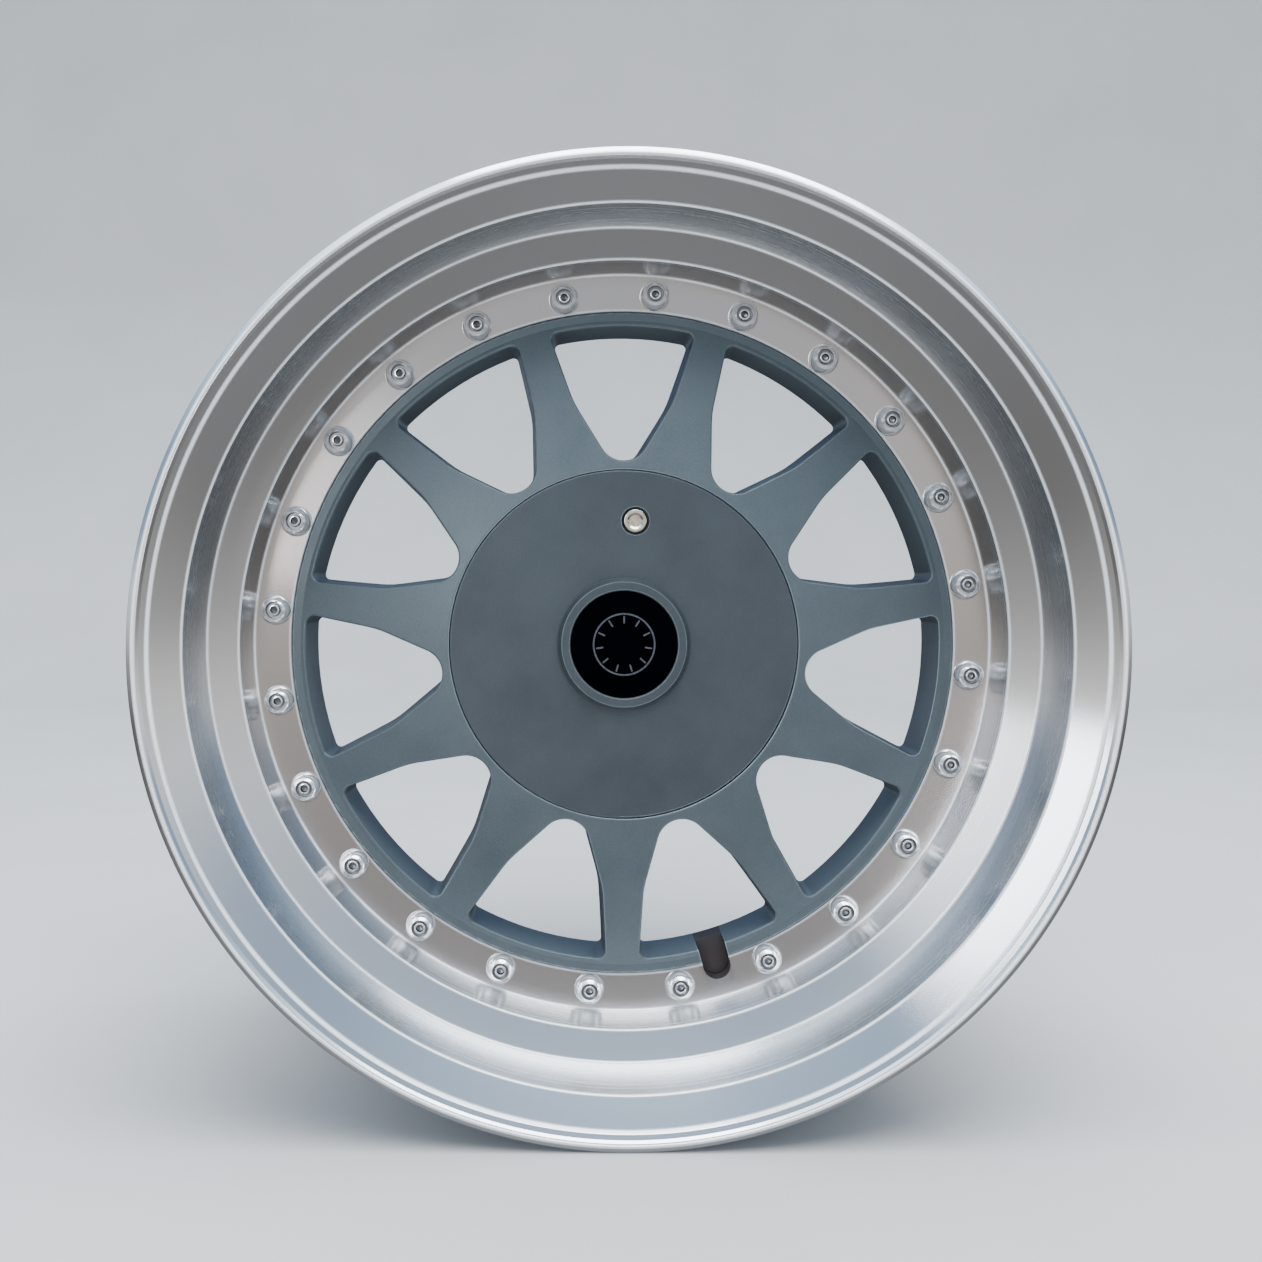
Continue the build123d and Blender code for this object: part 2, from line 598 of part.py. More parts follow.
os.makedirs("parts", exist_ok=True)
pieces = {
    "outer_rim_half": outer_rim_half,
    "inner_rim_half": inner_rim_half,
    "wheel_centre": wheel_centre,
    "rim_bolts": rim_bolts,
    "nut_washers": nut_washers,
    "rim_nuts": rim_nuts,
    "seam_sealant": seam_sealant,
    "hub_cover": hub_cover,
    "cover_screw": cover_screw,
    "screw_retainer": screw_retainer,
    "thread_insert": thread_insert,
    "cover_dowels": cover_dowels,
    "centre_cap": centre_cap,
    "cap_spring_ring": cap_spring_ring,
    "cap_badge": cap_badge,
    "cap_emblem": cap_emblem,
}
for name, piece in pieces.items():
    piece.part.label = name
    export_step(piece.part, f"parts/{name}.step")
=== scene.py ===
import math

import bmesh
import bpy
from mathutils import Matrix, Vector
from mathutils.kdtree import KDTree


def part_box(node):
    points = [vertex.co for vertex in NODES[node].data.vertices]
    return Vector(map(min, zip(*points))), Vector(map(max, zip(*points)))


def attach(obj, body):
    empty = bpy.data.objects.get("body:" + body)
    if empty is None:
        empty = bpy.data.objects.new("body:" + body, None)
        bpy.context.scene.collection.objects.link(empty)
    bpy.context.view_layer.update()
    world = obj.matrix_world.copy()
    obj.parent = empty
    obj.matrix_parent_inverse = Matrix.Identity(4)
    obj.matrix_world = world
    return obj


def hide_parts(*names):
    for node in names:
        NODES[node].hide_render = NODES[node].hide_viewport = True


# Looks for the modular wheel. Blender works in metres; turned outlines are written in millimetres,
# as (radius, depth, rounding) corners. Depth counts from the lip's foremost edge towards the
# vehicle, and the hub's mounting face, at depth HUB_DEPTH, is the frame's origin.
MM = 0.001
HUB_DEPTH = 94.0
RIM_R = 207.6

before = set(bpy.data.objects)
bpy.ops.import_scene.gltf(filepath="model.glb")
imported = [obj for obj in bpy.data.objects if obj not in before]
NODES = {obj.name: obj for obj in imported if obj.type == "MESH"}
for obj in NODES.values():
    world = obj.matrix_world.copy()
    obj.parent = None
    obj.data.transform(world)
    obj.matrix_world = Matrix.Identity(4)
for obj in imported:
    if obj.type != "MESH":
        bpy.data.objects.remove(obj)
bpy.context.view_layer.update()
FLOOR_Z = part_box("outer_rim_half")[0].z
FRONT_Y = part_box("outer_rim_half")[0].y

# Clock angles are in degrees, clockwise from the top, seen from the street side
SPOKES = 11
BOLTS = 24
BOLT_CLOCK = 5.4
BOLT_CIRCLE_R = 160.0
BOLT_HOLE_R = 3.65
VALVE_CLOCK = 5 * 360 / SPOKES
NOTCH_HALF_WIDTH = 6.3
NOTCH_R = 161.3
NOTCH_MOUTH_R = 140.0
LIP_FLANGE_DEPTH = 68.0
HEAD_HEIGHT = 5.8
HEAD_RECESS_R = 3.85
HUB_BORE_R = 36.55

# The cutter reaches past both faces of the outer rim half's flange
CUT_FROM_DEPTH = 60.0
CUT_TO_DEPTH = 84.0

# Flat sides in each full turn
RIM_STEPS = 384
BOLT_STEPS = 48
BOLT_HOLE_STEPS = 32
NOTCH_STEPS = 24


# ---------------------------------------------------------------- geometry

def place(radius, depth, clock):
    """A point on the wheel, in metres."""
    angle = math.radians(clock)
    along_axis = (depth - HUB_DEPTH) * MM
    return Vector((radius * MM * math.sin(angle), along_axis, radius * MM * math.cos(angle)))


def rounded_outline(corners, step=9.0):
    """The closed outline of (x, y, rounding) corners, with each rounding as a run of short steps."""
    points = []
    for index, (x, y, rounding) in enumerate(corners):
        corner = Vector((x, y))
        before = Vector(corners[index - 1][:2]) - corner
        after = Vector(corners[(index + 1) % len(corners)][:2]) - corner
        if not rounding:
            points.append(corner)
            continue
        before.normalize()
        after.normalize()
        half = before.angle(after) / 2
        centre = corner + (before + after).normalized() * rounding / math.sin(half)
        start = corner + before * rounding / math.tan(half) - centre
        end = corner + after * rounding / math.tan(half) - centre
        sweep = start.angle_signed(end)
        count = max(3, math.ceil(abs(math.degrees(sweep)) / step))
        for k in range(count + 1):
            turn = -sweep * k / count
            cos_t, sin_t = math.cos(turn), math.sin(turn)
            turned_x = start.x * cos_t - start.y * sin_t
            turned_y = start.x * sin_t + start.y * cos_t
            points.append(centre + Vector((turned_x, turned_y)))
    return points


def new_object(name, bm):
    """A linked, smooth-shaded object made from a bmesh, with outward normals."""
    bmesh.ops.recalc_face_normals(bm, faces=bm.faces)
    mesh = bpy.data.meshes.new(name)
    bm.to_mesh(mesh)
    bm.free()
    mesh.shade_smooth()
    obj = bpy.data.objects.new(name, mesh)
    bpy.context.scene.collection.objects.link(obj)
    return obj


def turn_outline(name, outline, steps, to_point):
    """A closed ring: the outline's points, turned in equal steps. to_point maps (x, y, angle)."""
    bm = bmesh.new()
    rings = []
    for k in range(steps):
        angle = 2 * math.pi * k / steps
        rings.append([bm.verts.new(to_point(p.x, p.y, angle)) for p in outline])
    count = len(outline)
    for k, ring in enumerate(rings):
        following = rings[(k + 1) % steps]
        for i in range(count):
            j = (i + 1) % count
            bm.faces.new((ring[i], ring[j], following[j], following[i]))
    return new_object(name, bm)


def about_wheel_axis(radius, depth, angle):
    return place(radius, depth, math.degrees(angle))


def add_prism(bm, outline, low, high, clock):
    """A straight-sided solid along the wheel's axis; the outline is (across, outward) in mm."""
    angle = math.radians(clock)
    loops = []
    for depth in (low, high):
        loop = []
        for across, outward in outline:
            x = across * math.cos(angle) + outward * math.sin(angle)
            z = -across * math.sin(angle) + outward * math.cos(angle)
            loop.append(bm.verts.new((x * MM, (depth - HUB_DEPTH) * MM, z * MM)))
        loops.append(loop)
        bm.faces.new(loop)
    count = len(outline)
    for i in range(count):
        j = (i + 1) % count
        bm.faces.new((loops[0][i], loops[0][j], loops[1][j], loops[1][i]))


def circle_points(centre, radius, count):
    angles = [2 * math.pi * k / count for k in range(count)]
    return [(centre[0] + radius * math.cos(a), centre[1] + radius * math.sin(a)) for a in angles]


def cut(obj, cutter):
    """Cuts the closed cutter out of the object and removes the cutter."""
    modifier = obj.modifiers.new("cut", "BOOLEAN")
    modifier.object = cutter
    modifier.solver = "EXACT"
    depsgraph = bpy.context.evaluated_depsgraph_get()
    mesh = bpy.data.meshes.new_from_object(obj.evaluated_get(depsgraph))
    old = obj.data
    obj.modifiers.clear()
    obj.data = mesh
    bpy.data.meshes.remove(old)
    bpy.data.objects.remove(cutter)


def true_turned_normals(obj, outline):
    """Gives a turned piece the normals of its outline, and leaves cut walls flat."""
    tree_points = []
    count = len(outline)
    for i in range(count):
        a, b = outline[i], outline[(i + 1) % count]
        along = b - a
        if along.length < 1e-6:
            continue
        normal = Vector((along.y, -along.x)).normalized()
        pieces = max(2, math.ceil(along.length / 0.5))
        for k in range(pieces):
            tree_points.append((a + along * (k + 0.5) / pieces, normal))
    area = sum(p.x * q.y - q.x * p.y for p, q in zip(outline, outline[1:] + outline[:1]))
    side = 1 if area > 0 else -1
    tree = KDTree(len(tree_points))
    for index, (point, _) in enumerate(tree_points):
        tree.insert((point.x, point.y, 0), index)
    tree.balance()
    mesh = obj.data
    smooth_normals = []
    for vertex in mesh.vertices:
        x, y, z = vertex.co
        radius = math.hypot(x, z)
        found = tree.find_n((radius / MM, y / MM + HUB_DEPTH, 0), 2)
        across = sum((tree_points[i][1] / max(d, 1e-4) for _, i, d in found), Vector((0, 0))) * side
        out = Vector((x / radius, 0, z / radius))
        smooth_normals.append((out * across.x + Vector((0, across.y, 0))).normalized())
    loop_normals = [None] * len(mesh.loops)
    for face in mesh.polygons:
        mean = sum((smooth_normals[v] for v in face.vertices), Vector()) / len(face.vertices)
        turned = face.normal.dot(mean.normalized()) > 0.8
        for loop in face.loop_indices:
            vertex = mesh.loops[loop].vertex_index
            loop_normals[loop] = smooth_normals[vertex] if turned else face.normal.copy()
    mesh.normals_split_custom_set(loop_normals)


# ---------------------------------------------------------------- materials

class Surface:
    """A material with a Principled shader, and short ways to add texture nodes to it."""

    def __init__(self, name, color, metallic, roughness):
        self.material = bpy.data.materials.new(name)
        self.material.use_nodes = True
        self.tree = self.material.node_tree
        self.shader = self.tree.nodes["Principled BSDF"]
        self.shader.inputs["Base Color"].default_value = (*color, 1)
        self.shader.inputs["Metallic"].default_value = metallic
        self.shader.inputs["Roughness"].default_value = roughness
        self.place = self.node("ShaderNodeTexCoord").outputs["Object"]

    def node(self, kind, **settings):
        made = self.tree.nodes.new(kind)
        for key, value in settings.items():
            setattr(made, key, value)
        return made

    def link(self, output, socket):
        self.tree.links.new(output, socket)

    def math(self, operation, first, second=0.0, third=0.0):
        made = self.node("ShaderNodeMath", operation=operation)
        for socket, value in zip(made.inputs, (first, second, third)):
            if isinstance(value, (int, float)):
                socket.default_value = value
            else:
                self.link(value, socket)
        return made.outputs[0]

    def noise(self, scale, detail=2.0, rough=0.5, where=None, dimensions="3D"):
        made = self.node("ShaderNodeTexNoise", noise_dimensions=dimensions)
        made.inputs["Scale"].default_value = scale
        made.inputs["Detail"].default_value = detail
        made.inputs["Roughness"].default_value = rough
        target = made.inputs["W"] if dimensions == "1D" else made.inputs["Vector"]
        self.link(where or self.place, target)
        return made.outputs["Fac"]

    def axes(self):
        """The place on the wheel, in millimetres, as X, depth and Z."""
        split = self.node("ShaderNodeSeparateXYZ")
        self.link(self.place, split.inputs[0])
        depth = self.math("MULTIPLY_ADD", split.outputs["Y"], 1 / MM, HUB_DEPTH)
        x = self.math("DIVIDE", split.outputs["X"], MM)
        return x, depth, self.math("DIVIDE", split.outputs["Z"], MM)

    def length(self, first, second):
        square = self.math("MULTIPLY", first, first)
        return self.math("SQRT", self.math("MULTIPLY_ADD", second, second, square))

    def step(self, value, low, high):
        """0 up to the low value, 1 from the high value on, or the other way round if low is the higher."""
        made = self.node("ShaderNodeMapRange", interpolation_type="SMOOTHSTEP")
        if low > high:
            low, high = high, low
            made.inputs["To Min"].default_value = 1.0
            made.inputs["To Max"].default_value = 0.0
        made.inputs["From Min"].default_value = low
        made.inputs["From Max"].default_value = high
        self.link(value, made.inputs["Value"])
        return made.outputs["Result"]

    def blend(self, socket, mask, target):
        """Moves a shader input from what it is so far to a target, where the mask is 1."""
        colour = isinstance(target, tuple)
        made = self.node("ShaderNodeMix", data_type="RGBA" if colour else "FLOAT")
        first, second, result = (6, 7, 2) if colour else (2, 3, 0)
        present = self.shader.inputs[socket]
        if present.is_linked:
            self.link(present.links[0].from_socket, made.inputs[first])
        else:
            made.inputs[first].default_value = present.default_value
        made.inputs[second].default_value = (*target, 1) if colour else target
        self.link(mask, made.inputs[0])
        self.link(made.outputs[result], present)

    def edges(self, radius):
        """1 at convex and concave edges, 0 on flats."""
        rounded = self.node("ShaderNodeBevel", samples=4)
        rounded.inputs["Radius"].default_value = radius
        plain = self.node("ShaderNodeNewGeometry").outputs["Normal"]
        dot = self.node("ShaderNodeVectorMath", operation="DOT_PRODUCT")
        self.link(rounded.outputs[0], dot.inputs[0])
        self.link(plain, dot.inputs[1])
        return self.step(dot.outputs["Value"], 0.995, 0.90)

    def vary(self, socket, fac, low, high):
        """Drives a shader input with a texture, spread between two values."""
        spread = self.node("ShaderNodeMapRange")
        spread.inputs["From Min"].default_value = 0.3
        spread.inputs["From Max"].default_value = 0.7
        spread.inputs["To Min"].default_value = low
        spread.inputs["To Max"].default_value = high
        self.link(fac, spread.inputs["Value"])
        self.link(spread.outputs["Result"], self.shader.inputs[socket])

    def tint(self, fac, low, high):
        """Colours the surface between two tints, by a texture."""
        ramp = self.node("ShaderNodeValToRGB")
        ramp.color_ramp.elements[0].position = 0.3
        ramp.color_ramp.elements[0].color = (*low, 1)
        ramp.color_ramp.elements[1].position = 0.7
        ramp.color_ramp.elements[1].color = (*high, 1)
        self.link(fac, ramp.inputs["Fac"])
        self.link(ramp.outputs["Color"], self.shader.inputs["Base Color"])

    def bump(self, *layers):
        """Stacks bump layers given as (height, strength, distance in metres)."""
        previous = None
        for height, strength, distance in layers:
            made = self.node("ShaderNodeBump")
            made.inputs["Strength"].default_value = strength
            made.inputs["Distance"].default_value = distance
            self.link(height, made.inputs["Height"])
            if previous:
                self.link(previous, made.inputs["Normal"])
            previous = made.outputs["Normal"]
        self.link(previous, self.shader.inputs["Normal"])


# Edges of the outer rim half painted pale as painted highlights, as (radius, depth)
PAINTED_HIGHLIGHT_EDGES = (
    (152.4, 68.0),
    (169.5, 67.7),
    (170.8, 45.6),
    (184.7, 42.2),
    (185.8, 8.3),
    (199.3, 3.4),
    (204.3, 0.5),
)


def turned_aluminium():
    """Bright metal straight from the lathe: rings of tool marks that stretch highlights across them."""
    made = Surface("turned_aluminium", (0.80, 0.80, 0.81), 1.0, 0.3)
    made.shader.inputs["Anisotropic"].default_value = 1.0
    made.shader.inputs["Anisotropic Rotation"].default_value = 0.25
    tangent = made.node("ShaderNodeTangent", direction_type="RADIAL", axis="Y")
    made.link(tangent.outputs[0], made.shader.inputs["Tangent"])
    x, depth, z = made.axes()
    radius = made.length(x, z)
    # runs across every face of the profile, so that it is constant along each lathe ring
    ring = made.math("MULTIPLY_ADD", depth, 0.83, radius)
    fine = made.noise(1.1, 1.0, 0.5, ring, "1D")
    broad = made.noise(0.4, 3.0, 0.7, ring, "1D")
    made.vary("Roughness", broad, 0.21, 0.28)
    made.tint(broad, (0.74, 0.745, 0.755), (0.83, 0.835, 0.84))
    made.bump((fine, 0.3, 0.00002))
    # the lands between the walls and the flange are cut finer, so they mirror more sharply
    inner_land = made.math("MULTIPLY", made.step(depth, 46.0, 45.4), made.step(depth, 41.6, 42.0))
    inner_land = made.math("MULTIPLY", inner_land, made.step(radius, 185.0, 184.6))
    land = made.math("MAXIMUM", inner_land, made.step(depth, 8.8, 8.0))
    flange = made.step(depth, 67.4, 67.8)
    made.blend("Roughness", made.math("MAXIMUM", land, flange), 0.165)
    # painted reflection: the lands are tinted blue like the sky they mirror; painted shade: the flange is
    # painted a darker, warmer grey
    made.blend("Base Color", land, (0.76, 0.785, 0.82))
    made.blend("Base Color", flange, (0.68, 0.66, 0.66))
    painted_highlight = None
    for edge_radius, edge_depth in PAINTED_HIGHLIGHT_EDGES:
        aside = made.math("SUBTRACT", radius, edge_radius)
        off = made.length(aside, made.math("SUBTRACT", depth, edge_depth))
        near = made.step(off, 1.5, 0.3)
        painted_highlight = made.math("MAXIMUM", painted_highlight, near) if painted_highlight else near
    # painted highlight: near white and less metallic along each listed edge
    made.blend("Base Color", painted_highlight, (0.98, 0.98, 0.98))
    made.blend("Metallic", painted_highlight, 0.2)
    return made.material


def chrome():
    """Bright chrome; down in each head's ring recess and socket it is duller, and painted darker as
    painted shade.
    """
    made = Surface("bolt_chrome", (0.95, 0.95, 0.96), 0.72, 0.05)
    made.vary("Roughness", made.noise(160.0, 3.0), 0.03, 0.09)
    made.bump((made.noise(420.0, 2.0), 0.04, 0.0001))
    x, depth, z = made.axes()
    spacing = 2 * math.pi / BOLTS
    clock = made.math("ARCTAN2", x, z)
    turn = made.math("MULTIPLY_ADD", clock, 1 / spacing, 0.5 - math.radians(BOLT_CLOCK) / spacing)
    aside = made.math("MULTIPLY", made.math("SUBTRACT", made.math("FRACT", turn), 0.5), spacing)
    radius = made.length(x, z)
    across = made.math("MULTIPLY", radius, made.math("SINE", aside))
    along = made.math("SUBTRACT", made.math("MULTIPLY", radius, made.math("COSINE", aside)), BOLT_CIRCLE_R)
    inside = made.step(made.length(across, along), 4.0, 3.8)
    sunk = made.step(depth, LIP_FLANGE_DEPTH - HEAD_HEIGHT + 0.6, LIP_FLANGE_DEPTH - HEAD_HEIGHT + 1.4)
    recess_shade = made.math("MULTIPLY", inside, sunk)
    # painted shade: darker colour down in each head's ring recess and socket
    made.blend("Base Color", recess_shade, (0.34, 0.345, 0.36))
    made.blend("Roughness", recess_shade, 0.3)
    return made.material


def satin_paint(name, dark, light, roughness):
    """Metallic paint under satin lacquer, mottled and finely grained, with painted highlights that make it
    paler along the edges.
    """
    made = Surface(name, light, 0.3, roughness)
    grain = made.noise(1500.0, 2.0, 0.7)
    mottle = made.noise(38.0, 5.0, 0.65)
    made.tint(made.math("MULTIPLY_ADD", grain, 0.55, made.math("MULTIPLY", mottle, 0.45)), dark, light)
    made.vary("Roughness", mottle, roughness - 0.07, roughness + 0.07)
    made.bump((grain, 0.10, 0.0002), (made.noise(700.0, 2.0), 0.05, 0.0004))
    # painted highlight: paler colour along convex and concave edges
    painted_edge_highlight = tuple(min(1.0, channel * 3.2) for channel in light)
    made.blend("Base Color", made.math("MULTIPLY", made.edges(0.0008), 0.8), painted_edge_highlight)
    return made


def spoke_paint():
    """Gunmetal paint, painted dark brown-grey and duller in the valve notch as painted shade, and a
    machined face against the hub.
    """
    made = satin_paint("gunmetal_paint", (0.115, 0.140, 0.155), (0.160, 0.190, 0.205), 0.42)
    x, depth, z = made.axes()
    clock = math.radians(VALVE_CLOCK)
    z_across = made.math("MULTIPLY", z, -math.sin(clock))
    across = made.math("MULTIPLY_ADD", x, math.cos(clock), z_across)
    z_outward = made.math("MULTIPLY", z, math.cos(clock))
    outward = made.math("MULTIPLY_ADD", x, math.sin(clock), z_outward)
    beside = made.step(made.math("ABSOLUTE", across), NOTCH_HALF_WIDTH + 0.25, NOTCH_HALF_WIDTH + 0.1)
    notch_shade = made.math("MULTIPLY", beside, made.step(outward, NOTCH_MOUTH_R + 1, NOTCH_MOUTH_R + 2))
    notch_shade = made.math("MULTIPLY", notch_shade, made.step(depth, 66.4, 66.8))
    # painted shade: dark brown-grey over the notch's floor and side walls
    made.blend("Base Color", notch_shade, (0.10, 0.088, 0.088))
    made.blend("Roughness", notch_shade, 0.6)
    machined = made.step(depth, HUB_DEPTH - 0.2, HUB_DEPTH - 0.1)
    in_bore = made.step(made.length(x, z), HUB_BORE_R + 0.2, HUB_BORE_R + 0.1)
    machined = made.math("MAXIMUM", machined, in_bore)
    made.blend("Base Color", machined, (0.66, 0.66, 0.67))
    made.blend("Metallic", machined, 1.0)
    made.blend("Roughness", machined, 0.3)
    return made.material


def zinc_steel():
    made = Surface("zinc_steel", (0.62, 0.62, 0.60), 1.0, 0.32)
    made.tint(made.noise(220.0, 4.0), (0.50, 0.50, 0.47), (0.70, 0.70, 0.68))
    made.vary("Roughness", made.noise(300.0, 3.0), 0.24, 0.42)
    made.bump((made.noise(1500.0, 2.0), 0.12, 0.0001))
    return made.material


def sealant():
    made = Surface("sealant_black", (0.02, 0.02, 0.02), 0.0, 0.55)
    made.vary("Roughness", made.noise(60.0, 3.0), 0.42, 0.68)
    made.bump((made.noise(70.0, 3.0), 0.35, 0.0008))
    return made.material


def screw_steel():
    made = Surface("screw_steel", (0.78, 0.74, 0.66), 1.0, 0.16)
    made.tint(made.noise(500.0, 3.0), (0.66, 0.60, 0.48), (0.82, 0.80, 0.74))
    made.vary("Roughness", made.noise(800.0, 2.0), 0.10, 0.24)
    made.bump((made.noise(2200.0, 1.0), 0.08, 0.0001))
    return made.material


def brass():
    made = Surface("insert_brass", (0.72, 0.53, 0.22), 1.0, 0.28)
    made.tint(made.noise(400.0, 3.0), (0.60, 0.42, 0.16), (0.76, 0.58, 0.26))
    made.bump((made.noise(1800.0, 2.0), 0.1, 0.0001))
    return made.material


def nylon():
    made = Surface("retainer_nylon", (0.72, 0.70, 0.64), 0.0, 0.45)
    made.shader.inputs["Subsurface Weight"].default_value = 0.1
    made.vary("Roughness", made.noise(500.0, 2.0), 0.38, 0.55)
    made.bump((made.noise(1400.0, 2.0), 0.1, 0.0001))
    return made.material


def gloss_black():
    """The badge: printed black under a clear domed layer, with faint dust and swirl marks."""
    made = Surface("badge_gloss", (0.003, 0.004, 0.008), 0.0, 0.07)
    made.shader.inputs["Specular IOR Level"].default_value = 0.04
    made.vary("Roughness", made.noise(120.0, 4.0), 0.05, 0.16)
    made.tint(made.noise(900.0, 2.0), (0.0004, 0.0008, 0.002), (0.001, 0.0015, 0.004))
    made.bump((made.noise(260.0, 2.0), 0.02, 0.0002))
    return made.material


def emblem_print():
    made = Surface("emblem_print", (0.10, 0.11, 0.13), 0.2, 0.35)
    made.tint(made.noise(700.0, 3.0), (0.07, 0.08, 0.095), (0.13, 0.14, 0.165))
    made.bump((made.noise(1500.0, 1.0), 0.08, 0.0001))
    return made.material


def floor_material():
    made = Surface("pale_floor", (0.62, 0.61, 0.59), 0.0, 0.8)
    made.tint(made.noise(3.0, 6.0, 0.6), (0.60, 0.59, 0.575), (0.645, 0.635, 0.62))
    made.bump((made.noise(180.0, 4.0), 0.1, 0.0005))
    return made.material


# ---------------------------------------------------------------- pieces built here

OUTER_RIM = (
    # bolting flange and the inner, smaller wall of the dish
    (152.3, 68.0, 0.5),
    (169.4, 68.0, 0.9),
    (170.9, 45.2, 0.9),
    # step up to the outer, larger wall
    (184.6, 42.2, 1.2),
    (185.9, 8.0, 1.1),
    # broad sloping land, with a bead and groove before the rolled edge
    (198.9, 3.7, 0.5),
    (200.2, 2.5, 0.5),
    (202.2, 1.9, 0.6),
    (203.3, 0.7, 0.25),
    (203.7, 0.9, 0.15),
    (204.0, 0.0, 0.5),
    (207.3, 1.9, 0.8),
    # tyre side: rolled edge, bead seat, safety hump, step down to the well
    (RIM_R, 12.4, 9.5),
    (190.1, 12.4, 6.5),
    (188.5, 32.0, 4.0),
    (189.3, 37.0, 5.0),
    (187.9, 42.0, 3.0),
    (187.2, 46.0, 3.0),
    (174.6, 52.5, 5.0),
    (172.8, 58.0, 6.0),
    (172.8, 76.0, 0),
    (152.3, 76.0, 0),
)


def notch_outline():
    """The valve notch: a half round outer end, open towards the middle of the wheel."""
    centre_r = NOTCH_R - NOTCH_HALF_WIDTH
    angles = [math.pi * k / NOTCH_STEPS for k in range(NOTCH_STEPS + 1)]
    half_round = [
        (NOTCH_HALF_WIDTH * math.cos(a), centre_r + NOTCH_HALF_WIDTH * math.sin(a)) for a in angles
    ]
    return [(NOTCH_HALF_WIDTH, NOTCH_MOUTH_R), *half_round, (-NOTCH_HALF_WIDTH, NOTCH_MOUTH_R)]


def build_outer_rim():
    outline = rounded_outline(OUTER_RIM)
    rim = turn_outline("outer_rim_lathe", outline, RIM_STEPS, about_wheel_axis)
    cutter = bmesh.new()
    add_prism(cutter, notch_outline(), CUT_FROM_DEPTH, CUT_TO_DEPTH, VALVE_CLOCK)
    hole = circle_points((0, BOLT_CIRCLE_R), BOLT_HOLE_R, BOLT_HOLE_STEPS)
    for k in range(BOLTS):
        add_prism(cutter, hole, CUT_FROM_DEPTH, CUT_TO_DEPTH, BOLT_CLOCK + k * 360 / BOLTS)
    cut(rim, new_object("flange_cutter", cutter))
    true_turned_normals(rim, outline)
    return rim


# The head's dome is part of a ball as big as the head, standing on the seat
BOLT_DOME_R = 7.0
BOLT_DOME = [
    (BOLT_DOME_R * math.cos(math.radians(rise)), BOLT_DOME_R * math.sin(math.radians(rise)), 0)
    for rise in range(5, 58, 4)
]
BOLT_HEAD = (
    # (radius, height above the seat, rounding): socketed boss, shank, seat, dome, ring recess
    (1.75, HEAD_HEIGHT - 0.4, 0.08),
    (1.75, HEAD_HEIGHT - 3.4, 0.2),
    (0.02, HEAD_HEIGHT - 3.9, 0),
    (0.02, -32.8, 0),
    (2.9, -32.8, 0.1),
    (3.5, -32.2, 0.1),
    (3.5, 0.0, 0.15),
    (BOLT_DOME_R, 0.0, 0.1),
    *BOLT_DOME,
    (HEAD_RECESS_R, HEAD_HEIGHT - 0.05, 0.12),
    (HEAD_RECESS_R, HEAD_HEIGHT - 2.0, 0.25),
    (2.55, HEAD_HEIGHT - 2.0, 0.25),
    (2.55, HEAD_HEIGHT - 0.5, 0.35),
)


def build_rim_bolts():
    """All the rim bolts, as separate closed shells in one mesh."""
    outline = rounded_outline(BOLT_HEAD, 12.0)
    seat_y = LIP_FLANGE_DEPTH - HUB_DEPTH
    bm = bmesh.new()
    for index in range(BOLTS):
        clock = math.radians(BOLT_CLOCK + index * 360 / BOLTS)
        middle = Vector((math.sin(clock), 0, math.cos(clock))) * BOLT_CIRCLE_R
        rings = []
        for k in range(BOLT_STEPS):
            angle = 2 * math.pi * k / BOLT_STEPS
            aside = Vector((math.cos(angle), 0, math.sin(angle)))
            points = [middle + aside * p.x + Vector((0, seat_y - p.y, 0)) for p in outline]
            rings.append([bm.verts.new(point * MM) for point in points])
        for k, ring in enumerate(rings):
            following = rings[(k + 1) % BOLT_STEPS]
            for i in range(len(outline)):
                j = (i + 1) % len(outline)
                bm.faces.new((ring[i], ring[j], following[j], following[i]))
    bolts = new_object("rim_bolts_chromed", bm)
    bolts.data.set_sharp_from_angle(angle=math.radians(50))
    return bolts


# ---------------------------------------------------------------- the wheel

ALUMINIUM = turned_aluminium()
CHROME = chrome()
ZINC = zinc_steel()
CHARCOAL = satin_paint("charcoal_paint", (0.075, 0.088, 0.100), (0.110, 0.125, 0.138), 0.38).material
BARREL = satin_paint("barrel_paint", (0.105, 0.110, 0.116), (0.145, 0.150, 0.157), 0.40).material
CAP_PAINT = satin_paint("cap_plastic", (0.076, 0.090, 0.100), (0.104, 0.121, 0.132), 0.36).material

NODE_MATERIALS = {
    "inner_rim_half": BARREL,
    "wheel_centre": spoke_paint(),
    "nut_washers": ZINC,
    "rim_nuts": ZINC,
    "seam_sealant": sealant(),
    "hub_cover": CHARCOAL,
    "cover_screw": screw_steel(),
    "screw_retainer": nylon(),
    "thread_insert": brass(),
    "cover_dowels": ZINC,
    "centre_cap": CAP_PAINT,
    "cap_spring_ring": ZINC,
    "cap_badge": gloss_black(),
    "cap_emblem": emblem_print(),
}
for node_name, material in NODE_MATERIALS.items():
    NODES[node_name].data.materials.clear()
    NODES[node_name].data.materials.append(material)

outer_rim = build_outer_rim()
outer_rim.data.materials.append(ALUMINIUM)
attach(outer_rim, "wheel")
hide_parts("outer_rim_half")

rim_bolts = build_rim_bolts()
rim_bolts.data.materials.append(CHROME)
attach(rim_bolts, "wheel")
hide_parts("rim_bolts")


# ---------------------------------------------------------------- stage, light and camera

